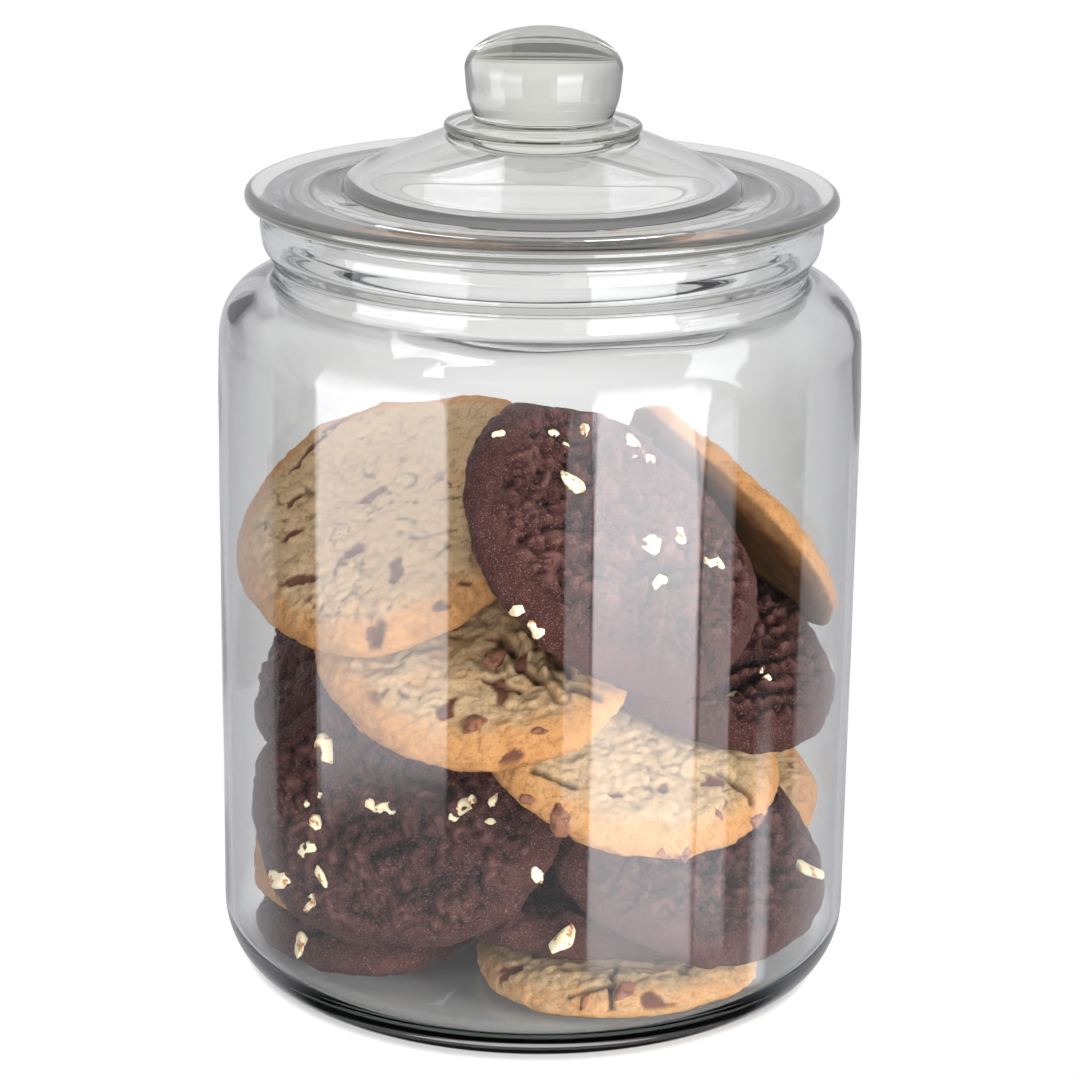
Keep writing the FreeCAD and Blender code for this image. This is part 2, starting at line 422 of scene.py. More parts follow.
def turned(name, profile, wavy):
    """A closed profile, from the axis round to the axis, turned about the upright.

    Where it is wavy, the wall is a little off round, in its own way outside and inside.
    """
    clean = [profile[0]]
    for q in profile[1:]:
        if math.dist(q, clean[-1]) > 1e-4:
            clean.append(q)
    verts, rings = [], []
    s = 2 * math.pi * np.arange(SEGMENTS) / SEGMENTS
    for r, z in clean:
        if r < TINY:
            rings.append([len(verts)])
            verts.append((0, 0, z * MM))
            continue
        inside = len(rings) > len(clean) * OUTSIDE_SHARE
        rings.append(list(range(len(verts), len(verts) + SEGMENTS)))
        q = (r + (sag(s, z, inside) if wavy else 0 * s)) * MM
        verts += [tuple(v) for v in np.stack((q * np.cos(s), q * np.sin(s), z * MM + 0 * s), 1)]
    mesh = bpy.data.meshes.new(name)
    mesh.from_pydata(verts, [], stitched(rings))
    mesh.update()
    mesh.shade_smooth()
    mesh.set_sharp_from_angle(angle=SHARP)
    return linked(name, mesh)


def jar_profile():
    """The jar, from the middle of its base round the outside, over the lip and down to its floor."""
    inner = BODY_R - WALL
    crown = SHOULDER_Z + SHOULDER_H
    under = crown - WALL
    bead_under = (NECK_R, NECK_Z)
    bead_side = (BEAD_R, BEAD_Z)
    bead_top = (BEAD_R - 1.2, BEAD_Z + BEAD_H - 1.6)
    p = sweep((0, PUSH_UP), (FOOT_IN_R * 0.6, PUSH_UP * 0.8), (FOOT_IN_R, 0))
    p += [(FOOT_R, 0)] + quarter((FOOT_R, 0), (BODY_R, 0), (BODY_R, HEEL_H), HEEL_STEPS)
    p += [(BODY_R, z) for z in np.linspace(HEEL_H, SHOULDER_Z, WALL_STEPS)]
    p += quarter((BODY_R, SHOULDER_Z), (BODY_R, crown), (NECK_R + NECK_ROUND, crown), LARGE_STEPS)
    p += quarter((NECK_R + NECK_ROUND, crown), (NECK_R, crown), bead_under, SMALL_STEPS)
    p += sweep(bead_under, (NECK_R + 0.5, NECK_Z + 3.4), (BEAD_R - 1.0, BEAD_Z - 5.4), bead_side)
    p += sweep(bead_side, (BEAD_R - 0.2, BEAD_Z + 2.2), bead_top)
    p += quarter(bead_top, (bead_top[0], LIP_Z), (LIP_R, LIP_Z))
    p += [(MOUTH_R + MOUTH_ROUND, LIP_Z)]
    p += quarter((MOUTH_R + MOUTH_ROUND, LIP_Z), (MOUTH_R, LIP_Z), (MOUTH_R, LIP_Z - MOUTH_ROUND))
    p += quarter((MOUTH_R, crown + 0.6), (MOUTH_R, under), (MOUTH_R + UNDER_ROUND, under), SMALL_STEPS)
    p += quarter((MOUTH_R + UNDER_ROUND, under), (inner, under), (inner, SHOULDER_Z), LARGE_STEPS)
    p += [(inner, z) for z in np.linspace(SHOULDER_Z, FLOOR_Z + INNER_HEEL, WALL_STEPS)]
    heel_end = (inner - INNER_HEEL, FLOOR_Z)
    p += quarter((inner, FLOOR_Z + INNER_HEEL), (inner, FLOOR_Z), heel_end, HEEL_STEPS)
    return p + [(0, FLOOR_Z)]


def lid_profile():
    """The lid, from the top of its knob down the outside, round the brim and skirt to the hollow."""
    collar = DOME_TOP_Z + COLLAR_T
    brim = LID_Z + BRIM_T
    half = BRIM_T / 2
    valley = brim - VALLEY_DROP
    skirt_in = SKIRT_R - SKIRT_T
    dome_mid = (DOME_R * 0.76, valley + (DOME_TOP_Z - valley) * 0.58)
    dome_low = (DOME_R * 0.95, valley + (DOME_TOP_Z - valley) * 0.24)
    knob_foot = (KNOB_FOOT_R, collar + KNOB_FOOT_H)
    collar_side = (COLLAR_R, collar - COLLAR_ROUND)
    hollow = (skirt_in - HOLLOW_ROUND, LID_Z + 0.4)
    p = quarter((0, KNOB_TOP_Z), (KNOB_R, KNOB_TOP_Z), (KNOB_R, KNOB_WIDE_Z), LARGE_STEPS)
    p += sweep((KNOB_R, KNOB_WIDE_Z), (KNOB_R - 0.8, KNOB_WIDE_Z - 7.6), knob_foot)
    p += quarter(knob_foot, (KNOB_FOOT_R, collar), (KNOB_FOOT_R + KNOB_FOOT_ROUND, collar), SMALL_STEPS)
    p += quarter((COLLAR_R - COLLAR_ROUND, collar), (COLLAR_R, collar), collar_side, SMALL_STEPS)
    p += quarter(collar_side, (COLLAR_R, DOME_TOP_Z), (COLLAR_R - COLLAR_STEP, DOME_TOP_Z), SMALL_STEPS)
    p += sweep((COLLAR_R - COLLAR_STEP, DOME_TOP_Z), dome_mid, dome_low, (DOME_R, valley), n=10)
    p += sweep((DOME_R, valley), (DOME_R + 3.2, valley + 0.1), (RING_R, brim - 0.1))
    p += sweep((RING_R, brim - 0.1), (RING_R + 8, brim - 0.25), (BRIM_R - half, brim))
    p += quarter((BRIM_R - half, brim), (BRIM_R, brim), (BRIM_R, LID_Z + half))
    p += quarter((BRIM_R, LID_Z + half), (BRIM_R, LID_Z), (BRIM_R - half, LID_Z))
    skirt_top = (SKIRT_R, LID_Z - SKIRT_TOP_ROUND)
    skirt_end = (SKIRT_R - SKIRT_T / 2, SKIRT_Z)
    p += quarter((SKIRT_R + SKIRT_TOP_ROUND, LID_Z), (SKIRT_R, LID_Z), skirt_top, SMALL_STEPS)
    p += quarter((SKIRT_R, SKIRT_Z + SKIRT_END_ROUND), (SKIRT_R, SKIRT_Z), skirt_end)
    p += quarter(skirt_end, (skirt_in, SKIRT_Z), (skirt_in, SKIRT_Z + SKIRT_END_ROUND))
    p += quarter((skirt_in, LID_Z - 1.0), (skirt_in, LID_Z + 0.4), hollow, SMALL_STEPS)
    under_z = DOME_TOP_Z - GLASS_T
    p += sweep(hollow, (DOME_R + 1.0, LID_Z + 1.0), (DOME_R - 5.4, LID_Z + 4.2),
               (dome_mid[0] - 1.8, dome_mid[1] - 4.0), (COLLAR_R - 2.6, under_z), n=10)
    return p + [(0, under_z)]


def glass_piece(name, cad, profile, material, wavy):
    obj = turned(name, profile, wavy)
    obj.data.materials.append(material)
    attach(obj, "root")
    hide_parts(cad)


glass_piece("clear_jar", "jar_body", jar_profile(), JAR_GLASS, wavy=True)
glass_piece("clear_lid", "lid", list(reversed(lid_profile())), LID_GLASS, wavy=False)

# ---- cookies ------------------------------------------------------------------------------

# Chunks on each crown: right and up from its middle (mm) as seen from its front, then length.
CHUNKS = {
    "cookie_02": [(-18, 10, 8), (-13, 31, 6), (-24, 24, 3), (-20, 23, 4), (-40, 20, 4), (3, 35, 9),
                  (8, 31, 4), (9, 1, 8), (16, 8, 6), (27, 2, 7), (9, -13, 6), (-35, -37, 5),
                  (-30, -45, 4), (-25, -41, 4)],
    "cookie_04": [(7, -25, 6), (17, -15, 4), (16, -12, 3)],
    "cookie_05": [(7, -12, 9), (19, -37, 4), (2, -34, 8), (-36, -33, 4)],
    "cookie_06": [(-34, -37, 5), (-22, -42, 9), (12, -45, 4), (18, -40, 5), (37, -18, 8), (24, -25, 4)],
    "cookie_08": [(-22, 18, 8), (-24, 5, 3), (-28, 3, 5), (-26, -3, 6), (-27, -11, 6), (-23, -18, 6),
                  (-26, -26, 6), (-5, 2, 8), (-9, 3, 4), (17, 2, 9), (20, 5, 6), (26, 5, 6), (26, -1, 3),
                  (39, -16, 5), (-36, -20, 8)],
    "cookie_10": [(-28, -38, 8)],
    "cookie_11": [(35, -5, 8)],
    "cookie_12": [(-5, -40, 11)],
    "cookie_13": [(2, -37, 7), (-10, -40, 5)],
}
# Hollows in a crown: right, up, radius, depth (mm).
HOLLOWS = {
    "cookie_02": [(-21, 16, 4, 2.2), (-34, -14, 5, 2.4), (4, -2, 9, 1.0), (-17, 21, 5, 1.6)],
    "cookie_04": [(2, -14, 12, 1.8)],
    "cookie_05": [(6, -10, 8, 1.6)],
    "cookie_08": [(-4, 6, 10, 1.2), (-20, -10, 9, 1.0)],
    "cookie_11": [(2, -4, 9, 2.4), (-16, 2, 6, 1.6), (14, 12, 6, 1.8)],
}
# Flush streaks of chocolate in a golden crown: right, up, length, width, angle (mm, degrees).
STREAKS = {
    "cookie_01": [(-24, 27, 13, 2.2, 48), (-28, 9, 6, 2.2, 34), (-27, -3, 6, 2.4, 25),
                  (-26, -20, 11, 2.6, 2), (-9, -14, 10, 5.0, 60), (4, -22, 9, 4.0, 75),
                  (-3, -43, 6, 4.0, 80), (17, -37, 5, 2.5, 10), (24, -31, 4, 2.2, 0), (-5, 5, 9, 2.4, 30)],
    "cookie_05": [(8, -22, 9, 4.0, 100), (-6, -30, 8, 4.0, 60), (14, -14, 8, 3.0, 70),
                  (12, -43, 8, 2.2, 20)],
    "cookie_06": [(-6, -28, 6, 2.5, 20), (8, -22, 5, 2.5, 60), (22, -14, 6, 3.0, 30),
                  (30, -30, 6, 3.0, 40)],
    "cookie_13": [(-32, -24, 9, 5.0, 20), (24, -36, 9, 3.5, 10), (10, -40, 8, 5.0, 0)],
}
# Folds of dough that stand up, and cracks: the two ends, right and up (mm), width, height (mm).
FOLDS = {
    "cookie_05": [(19, -9, 20.5, -18, 2.0, 2.2), (20.5, -18, 25, -26, 2.0, 1.8), (14, -4, 17, -12, 1.8, 2.0),
                  (9, -9, 12, -17, 1.6, 1.4), (14, -16, 19, -20, 2.2, -2.0), (22, -8, 27, -17, 3.0, -2.2),
                  (8, -4, 12, -10, 2.2, -1.8), (4, -20, 13, -24, 1.6, -1.2), (28, -22, 36, -24, 2.0, -1.3)],
    "cookie_13": [(-1.4, -26, -2.4, -36, 1.2, -2.0), (-2.4, -36, -1.6, -50, 1.5, -2.4),
                  (-14, -38, -3, -36, 1.2, -0.8)],
    "cookie_04": [(8, -12, 20, -6, 3.0, -2.4), (14, -26, 27, -18, 2.6, 1.8), (20, -3, 27, 5, 3.0, 1.6),
                  (5, -24, 16, -14, 3.2, -2.2), (12, 2, 20, -10, 2.4, 1.6)],
    "cookie_02": [(-18, -4, -12, 10, 2.2, 1.4), (-12, 18, -6, 30, 2.2, -1.6), (-22, 22, -10, 26, 2.0, 1.4),
                  (2, 12, 14, 18, 2.4, 1.4), (0, -14, 14, -6, 2.4, -1.4), (14, -8, 26, -4, 2.2, 1.4)],
    "cookie_08": [(-16, -6, -4, -2, 2.2, 1.4), (-8, -12, 4, -8, 2.4, -1.6), (0, 10, 12, 6, 2.0, 1.3)],
    "cookie_11": [(-14, -6, -4, -2, 2.6, -2.0), (-4, -2, 6, -6, 2.4, 1.8), (6, -14, 8, 2, 1.8, -2.0),
                  (10, 4, 22, 0, 2.4, 1.6), (-20, 4, -10, 10, 2.6, 1.8)],
    "cookie_06": [(-30, -26, -18, -30, 1.6, -1.2), (24, -10, 34, -16, 1.8, -1.2)],
    "cookie_01": [(-20, 34, -14, 40, 1.6, -1.2), (26, -6, 33, -14, 1.6, -1.2), (-4, -46, 0, -40, 2.2, -1.6)],
}
HIDDEN = {"cookie_%02d" % k for k in range(15, 23)}
SHADED = {"cookie_03", "cookie_07", "cookie_09", "cookie_10", "cookie_14"}
# Cookies with chunks scattered anyhow, because their crowns hardly show.
SCATTERED = HIDDEN | {"cookie_03", "cookie_07", "cookie_09", "cookie_14"}
SCATTER_COUNT = 9
SCATTER_R = 34
# The cookie whose flat side shows. It has a painted shadow, darker than the rest, over its flat side and
# partway up its edge.
PAINTED_SHADOW_COOKIE = "cookie_03"
# How much paler than the rest some golden cookies are baked.
PALER = {"cookie_01": 0.10, "cookie_06": 0.10, "cookie_13": 0.30}
# Steps of the fine meshes (mm).
HIDDEN_STEP, SHADED_STEP, FINE_STEP = 1.6, 1.0, 0.82
# Sizes (mm) of the dough's unevenness, from slow swells to the finest crumb.
SWELL, REGION, LUMP, NUGGET, CRUMB, GRAIN, FINE, FINEST = 20, 13, 8, 5.2, 3.4, 2.4, 1.9, 1.25
# Sectors in which a cookie's uneven edge is found.
EDGE_SECTORS = 48
# A chunk's thickness and how deep it is sunk, as shares of its length, and the sides chipped off it.
CHUNK_FLAT = 0.30
CHUNK_SUNK = 0.08
CHIPPED_SIDES = 7
# Room left between the cookies and the inside of the glass (mm).
ROOM = 0.2


def vectors(mesh, field):
    """A mesh's points (co) or normals (normal), one row each."""
    values = np.empty(len(mesh.vertices) * 3, np.float32)
    mesh.vertices.foreach_get(field, values)
    return values.reshape(-1, 3).astype(float)


def cad_points(cad):
    return vectors(frame["nodes"][cad].data, "co") / MM


def crown_direction(cad):
    """The way that a cookie's crown faces: away from its one large flat side."""
    mesh = frame["nodes"][cad].data
    mesh.calc_loop_triangles()
    tri = np.empty(len(mesh.loop_triangles) * 3, np.int32)
    mesh.loop_triangles.foreach_get("vertices", tri)
    p = cad_points(cad)[tri.reshape(-1, 3)]
    n = np.cross(p[:, 1] - p[:, 0], p[:, 2] - p[:, 0]) / 2
    area = np.linalg.norm(n, axis=1)
    unit = n / np.maximum(area, 1e-9)[:, None]
    sides = {}
    for u, a in zip(unit, area):
        key = tuple(np.round(u, 2))
        sides[key] = sides.get(key, 0) + a
    flat = np.array(max(sorted(sides), key=lambda k: sides[k]))
    same = unit @ flat > 0.997 * np.linalg.norm(flat)
    down = (unit * area[:, None])[same].sum(0)
    return -down / np.linalg.norm(down)


def remeshed(cad):
    """A fine even mesh over a CAD cookie."""
    voxel = HIDDEN_STEP if cad in HIDDEN else SHADED_STEP if cad in SHADED else FINE_STEP
    obj = linked(cad + "_fine", frame["nodes"][cad].data.copy())
    m = obj.modifiers.new("remesh", "REMESH")
    m.mode = "VOXEL"
    m.voxel_size = voxel * MM
    s = obj.modifiers.new("smooth", "SMOOTH")
    s.factor = 0.5
    s.iterations = 4
    bpy.context.view_layer.update()
    fine = bpy.data.meshes.new_from_object(obj.evaluated_get(bpy.context.evaluated_depsgraph_get()))
    bpy.data.objects.remove(obj)
    fine.name = cad + "_baked"
    return fine


def set_attribute(mesh, name, values):
    a = mesh.attributes.new(name, "FLOAT", "POINT")
    a.data.foreach_set("value", values.astype(np.float32))


def ball(subdivisions):
    """Points and triangles of a ball of radius 1."""
    b = bmesh.new()
    bmesh.ops.create_icosphere(b, subdivisions=subdivisions, radius=1)
    co = np.array([v.co for v in b.verts])
    b.verts.index_update()
    faces = [tuple(v.index for v in f.verts) for f in b.faces]
    b.free()
    return co, faces


FINE_BALL = ball(3)
PLAIN_BALL = ball(2)


def blob(rng, size, flat, fine):
    """A broken lump of chocolate about size mm long, with chipped sides and a rough skin."""
    co, faces = FINE_BALL if fine else PLAIN_BALL
    seed = int(rng.integers(1, 900))
    co = co * (1 + 0.42 * lattice_noise(co, 0.95, seed))[:, None]
    for _ in range(CHIPPED_SIDES):
        d = rng.normal(size=3)
        d /= np.linalg.norm(d)
        over = np.maximum(co @ d - rng.uniform(0.45, 0.75), 0)
        co = co - over[:, None] * d * 0.9
    skin = 0.16 * lattice_noise(co, 0.42, seed + 1) + 0.08 * lattice_noise(co, 0.2, seed + 2)
    co = co * (1 + skin)[:, None]
    return co * np.array((size * 0.58, size * rng.uniform(0.32, 0.46), size * flat)), faces


def inside_glass(p):
    """Keeps points (mm) just clear of the inside of the jar's floor, heel and wall."""
    mid_r, mid_z = BODY_R - WALL - INNER_HEEL, FLOOR_Z + INNER_HEEL
    r = np.hypot(p[:, 0], p[:, 1])
    past_r = np.maximum(r - mid_r, 0)
    past_z = np.minimum(p[:, 2] - mid_z, 0)
    pull = np.minimum(1, (INNER_HEEL - ROOM) / np.maximum(np.hypot(past_r, past_z), TINY))
    q = p.copy()
    q[:, :2] *= ((r + past_r * (pull - 1)) / np.maximum(r, TINY))[:, None]
    q[:, 2] += past_z * (pull - 1)
    return q


def edge_share(turn, reach):
    """How near each point is to the cookie's own uneven edge, from 0 in the middle to 1."""
    sector = ((turn + math.pi) / (2 * math.pi) * EDGE_SECTORS).astype(int) % EDGE_SECTORS
    edge = np.array([reach[sector == k].max() for k in range(EDGE_SECTORS)])
    return reach / edge[sector]


def measured(cad, mesh):
    """Where each point of a cookie is on it (mm) and which way it faces.

    r, u and h count to the right and up across the crown, and out from its flat side.
    """
    crown = crown_direction(cad)
    right = np.array((1.0, 0, 0)) - crown[0] * crown
    right /= np.linalg.norm(right)
    up = np.cross(crown, right)
    raw = cad_points(cad)
    mid_r = ((raw @ right).min() + (raw @ right).max()) / 2
    mid_u = ((raw @ up).min() + (raw @ up).max()) / 2
    c = SimpleNamespace(p=vectors(mesh, "co") / MM, normal=vectors(mesh, "normal"))
    c.r = c.p @ right - mid_r
    c.u = c.p @ up - mid_u
    c.h = c.p @ crown - (raw @ crown).min()
    c.turn = np.arctan2(c.u, c.r)
    reach = np.hypot(c.r, c.u)
    c.share = edge_share(c.turn, reach)
    c.facing = c.normal @ crown
    c.face = step(0.0, 0.5, c.facing)
    c.under = step(-0.6, -0.9, c.facing)
    out = np.maximum(reach, TINY)
    c.outward = (c.r / out)[:, None] * right + (c.u / out)[:, None] * up
    return c


def add_noise(c, seed):
    """The cookie's unevenness at each point, and how far its edge strays from round (mm)."""
    c.local = np.stack((c.r, c.u, c.h), 1)
    c.lumps = lattice_noise(c.local, LUMP, seed)
    c.crumb = lattice_noise(c.local, CRUMB, seed + 1)
    c.fine = lattice_noise(c.local, FINE, seed + 2)
    c.slow = lattice_noise(c.local, SWELL, seed + 3)
    c.region = lattice_noise(c.local, REGION, seed + 4)
    c.finest = lattice_noise(c.local, FINEST, seed + 10)
    bent = c.local + 1.2 * np.stack((c.crumb, c.fine, c.lumps), 1)
    c.nuggets = np.abs(lattice_noise(bent, NUGGET, seed + 5)) * 2.4
    bent = c.local + 0.5 * np.stack((c.lumps, c.crumb, c.fine), 1)
    c.grains = np.abs(lattice_noise(bent, GRAIN, seed + 6)) * 2.4
    around = np.stack((np.cos(c.turn), np.sin(c.turn), 0 * c.turn), 1)
    c.wave = 1.5 * lattice_noise(around, 0.8, seed + 8) + 0.9 * lattice_noise(around, 0.3, seed + 9)
    c.wave += 0.6 * lattice_noise(around, 0.13, seed + 12)
    crown_edge = c.share + 0.05 * c.lumps + 0.05 * c.crumb
    c.crust = step(0.15, 0.6, c.facing) * step(0.93, 0.78, crown_edge)


def roughness(c, lumps, nuggets, grains, fine, finest):
    """How far the dough stands up (mm), for the strength of each kind of unevenness."""
    push = lumps * c.lumps + nuggets * (c.nuggets - 0.6) + grains * (c.grains - 0.6)
    return push + fine * c.fine + finest * c.finest


def add_relief(c, golden):
    """Lifts and sinks the dough, more on the crust than on the sides, and paints shade into the deep cracks
    and low grains.
    """
    if golden:
        crust = roughness(c, lumps=0.8, nuggets=0.25, grains=0.30, fine=0.4, finest=0.3)
    else:
        crust = roughness(c, lumps=0.8, nuggets=1.25, grains=1.0, fine=0.4, finest=0.3)
    sides = roughness(c, lumps=0.5, nuggets=0, grains=0.22, fine=0.2, finest=0.15)
    c.push = c.crust * crust + (1 - c.crust) * sides - 0.35
    # Painted shade in the deep cracks of the crust and in its low grains.
    deep = np.minimum(c.nuggets + 0.25 * c.grains, 0.8 * c.grains + 0.35)
    cracked = step(-0.6, 0.3, c.region + 0.4 * c.lumps)
    c.pit = step(0.42, 0.10, deep + 0.12 * c.fine) * cracked * c.crust
    c.pit = np.maximum(c.pit, 0.45 * step(0.25, 0.0, c.grains) * (1 - c.under))


def add_hollows(c, hollows):
    for right, up, radius, depth in hollows:
        d = np.hypot(c.r - right, c.u - up) * (1 + 0.35 * c.crumb)
        c.push -= depth * step(radius, radius * 0.35, d) * c.face


def add_folds(c, folds):
    """Raises folds, with painted shade on their flanks, and sinks cracks, with painted shade all through."""
    for r0, u0, r1, u1, width, height in folds:
        span = np.array((r1 - r0, u1 - u0))
        part = np.clip(((c.r - r0) * span[0] + (c.u - u0) * span[1]) / (span @ span), 0, 1)
        off_r = c.r - r0 - part * span[0] + 1.1 * c.crumb
        off_u = c.u - u0 - part * span[1] + 1.1 * c.lumps
        d = np.hypot(off_r, off_u) / width
        c.push += height * step(1.0, 0.2, d) * c.face
        # Painted shade on the flanks of folds and all through cracks.
        dark = step(1.1, 0.3, d) if height < 0 else 0.8 * step(0.5, 0.9, d) * step(1.5, 1.1, d)
        c.pit = np.maximum(c.pit, dark * c.face)


def add_streaks(c, streaks):
    """Chocolate that lies flush in the crown."""
    c.choc = np.zeros(len(c.p))
    for right, up, length, width, angle in streaks:
        cos, sin = math.cos(math.radians(angle)), math.sin(math.radians(angle))
        x = (c.r - right) * cos + (c.u - up) * sin
        y = (c.u - up) * cos - (c.r - right) * sin
        d = np.hypot(x / (length / 2), y / (width / 2)) + 0.55 * c.crumb + 0.45 * c.fine
        c.choc = np.maximum(c.choc, step(1.15, 0.8, d) * c.face)


def bake_golden(c, cad, seed):
    """Smears of chocolate, fainter cracks, and a shade that browns towards the rim, and below, where it is
    partly browning and partly painted shade.
    """
    drift = lattice_noise(c.local * np.array((0.5, 1.4, 1)), 3.6, seed + 7) + 0.4 * c.fine
    smears = step(0.68, 0.95, drift) * step(0.0, 0.5, c.region) * c.crust * 0.8
    c.choc = np.maximum(c.choc, smears)
    c.push -= 0.35 * c.choc
    # Underneath: partly browning, partly painted shade; on the cookie whose flat side shows, painted shadow
    # also partway up its edge.
    browned_and_shaded = step(6.5, 4.5, c.h) * 0.8 if cad == PAINTED_SHADOW_COOKIE else 0.6 * c.under
    c.pit = np.maximum(0.8 * c.pit, browned_and_shaded)
    rim = step(0.72, 0.99, c.share + 0.04 * c.lumps)
    # Browner towards the rim; darker underneath, partly browning and partly painted shade.
    c.shade = 0.88 + PALER.get(cad, 0) - 0.50 * rim - 0.45 * c.under
    c.shade = c.shade + 0.12 * c.slow + 0.10 * c.lumps + 0.10 * c.crumb


def bake_dark(c):
    """A shade with painted light where the crust and its lumps stand up, and painted shade where they sink.
    """
    # Painted light and shade that follow the relief of the crust.
    raised = 0.30 * (c.nuggets - 0.55) + 0.22 * (c.grains - 0.55) + 0.12 * c.fine
    c.shade = 0.5 + 0.10 * c.slow + 0.16 * c.lumps + c.crust * (raised - 0.10) + 0.08 * c.crumb


def baked_piece(cad, mesh, c, golden):
    """The cookie itself, with its relief in the mesh and its looks kept at each point."""
    c.p = c.p + c.outward * (c.wave * step(0.3, 1.0, c.share))[:, None]
    c.p = inside_glass(c.p + c.normal * c.push[:, None])
    mesh.vertices.foreach_set("co", (c.p * MM).astype(np.float32).ravel())
    for name, values in (("shade", c.shade), ("choc", c.choc), ("pit", c.pit), ("crown", c.crust)):
        set_attribute(mesh, name, values)
    mesh.update()
    mesh.shade_smooth()
    mesh.materials.clear()
    mesh.materials.append(GOLDEN if golden else DARK)
    obj = linked(cad + "_baked", mesh)
    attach(obj, "root")
    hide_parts(cad)


def chunk_spots(cad, rng):
    """Right, up and length (mm) of each chunk: the placed ones, then those scattered anyhow."""
    spots = list(CHUNKS.get(cad, []))
    if cad in SCATTERED:
        out = SCATTER_R * np.sqrt(rng.random(SCATTER_COUNT))
        turns = rng.uniform(0, 6.28, SCATTER_COUNT)
        spots += [(q * math.cos(t), q * math.sin(t), rng.uniform(4, 8)) for q, t in zip(out, turns)]
    return spots


def chunks_piece(cad, c, golden, rng):
    """Chunks of chocolate half sunk in the crown, all in one piece."""
    verts, faces, start = [], [], 0
    off_face = np.where(c.face > 0.5, 0, 50)
    for right, up, size in chunk_spots(cad, rng):
        k = int(np.argmin(np.hypot(c.r - right, c.u - up) + off_face))
        shape, tris = blob(rng, size, CHUNK_FLAT, cad not in HIDDEN)
        normal = c.normal[k]
        along = np.cross(normal, rng.normal(size=3))
        along /= np.linalg.norm(along)
        across = np.cross(normal, along)
        put = shape @ np.stack((along, across, normal)) + c.p[k] - normal * size * CHUNK_SUNK
        verts.append(inside_glass(put))
        faces += [tuple(i + start for i in f) for f in tris]
        start += len(put)
    if not verts:
        return
    bits = bpy.data.meshes.new(cad + "_chunks")
    bits.from_pydata((np.concatenate(verts) * MM).tolist(), [], faces)
    bits.update()
    bits.shade_smooth()
    bits.materials.append(MILK if golden else CREAM)
    obj = linked(cad + "_chunks", bits)
    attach(obj, "root")


def make_cookie(number, cad, golden):
    """One cookie and its chunks, with unevenness of its own."""
    seed = 11 * number
    mesh = remeshed(cad)
    c = measured(cad, mesh)
    add_noise(c, seed)
    add_relief(c, golden)
    add_hollows(c, HOLLOWS.get(cad, []))
    add_folds(c, FOLDS.get(cad, []))
    add_streaks(c, STREAKS.get(cad, []))
    if golden:
        bake_golden(c, cad, seed)
    else:
        bake_dark(c)
    baked_piece(cad, mesh, c, golden)
    chunks_piece(cad, c, golden, np.random.default_rng(100 + number))


slots = {s["node"]: s["material_slot"] for s in frame["record"]["subparts"]}
for number, cad in enumerate(sorted(n for n in slots if n.startswith("cookie")), 1):
    make_cookie(number, cad, slots[cad] == "golden_cookie")

# ---- floor, light and camera --------------------------------------------------------------

WHITE = grey(1)
ROOM_LIGHT = 0.42
COOL = (0.98, 0.98, 1.03, 1)
# What the glass mirrors: left, right, low and high end and soft edge (degrees), and strength.
TALL_WINDOWS = ((-86, -31, -22, 30, 1.5, 3.7), (19, 60, -25, 30, 1.5, 6.2))
TALL_FADE = 0.5
LOW_PATCHES = ((9, 19.5, -22, -10.5, 1.2, 1.4), (60, 74, -24, -10.5, 1.2, 1.8),
               (20, 88, -34, -20, 5.0, 0.6), (86, 97, -32, -19, 3.0, 2.5))
DARK_BAND = (-110, 110, -23, -10, 2.5, 1.0)


def direction(tree):
    """The way that light comes from: x to the right, y to the back and z up."""
    way = node(tree, "ShaderNodeTexCoord").outputs["Generated"]
    return node(tree, "ShaderNodeSeparateXYZ", {0: way}).outputs


def window(tree, left, right, low, high, soft, strength, fade=None):
    """A bright field between two turns from the front and two heights, with soft edges."""
    x, y, z = direction(tree)
    turn = arithmetic(tree, "ARCTAN2", x, times(tree, y, -1.0))
    start, end, edge = (math.radians(v) for v in (left, right, soft))
    bottom, top, rise = (math.sin(math.radians(v)) for v in (low, high, soft))
    wide = times(tree, ramp(tree, turn, start, start + edge), ramp(tree, turn, end, end - edge))
    tall = times(tree, ramp(tree, z, bottom, bottom + rise), ramp(tree, z, top, top - (fade or rise)))
    return times(tree, times(tree, wide, tall), strength)


def dark_room(tree, y, z):
    """The room behind the windows: brighter behind and above, dark in a low band and under the jar."""
    room = plus(tree, ramp(tree, y, 0.1, 0.5, 0.55, 0.95), ramp(tree, z, 0.1, 0.6, 0.0, 0.3))
    room = times(tree, room, ramp(tree, window(tree, *DARK_BAND), 0.0, 1.0, 1.0, 0.08))
    return times(tree, room, ramp(tree, z, -0.75, -0.6, 0.05, 1.0))


def reflections(tree):
    """What the glass mirrors: a plain room with two tall windows and paler patches on its table."""
    x, y, z = direction(tree)
    total = dark_room(tree, y, z)
    dimmed = ramp(tree, z, -0.42, -0.22, 0.45, 1.3)
    for field in TALL_WINDOWS:
        total = plus(tree, total, times(tree, window(tree, *field, TALL_FADE), dimmed))
    for field in LOW_PATCHES:
        total = plus(tree, total, window(tree, *field))
    return blend(tree, after(tree, "Glossy", 2), total, ramp(tree, z, -0.3, 0.1, 0.25, 0.6))


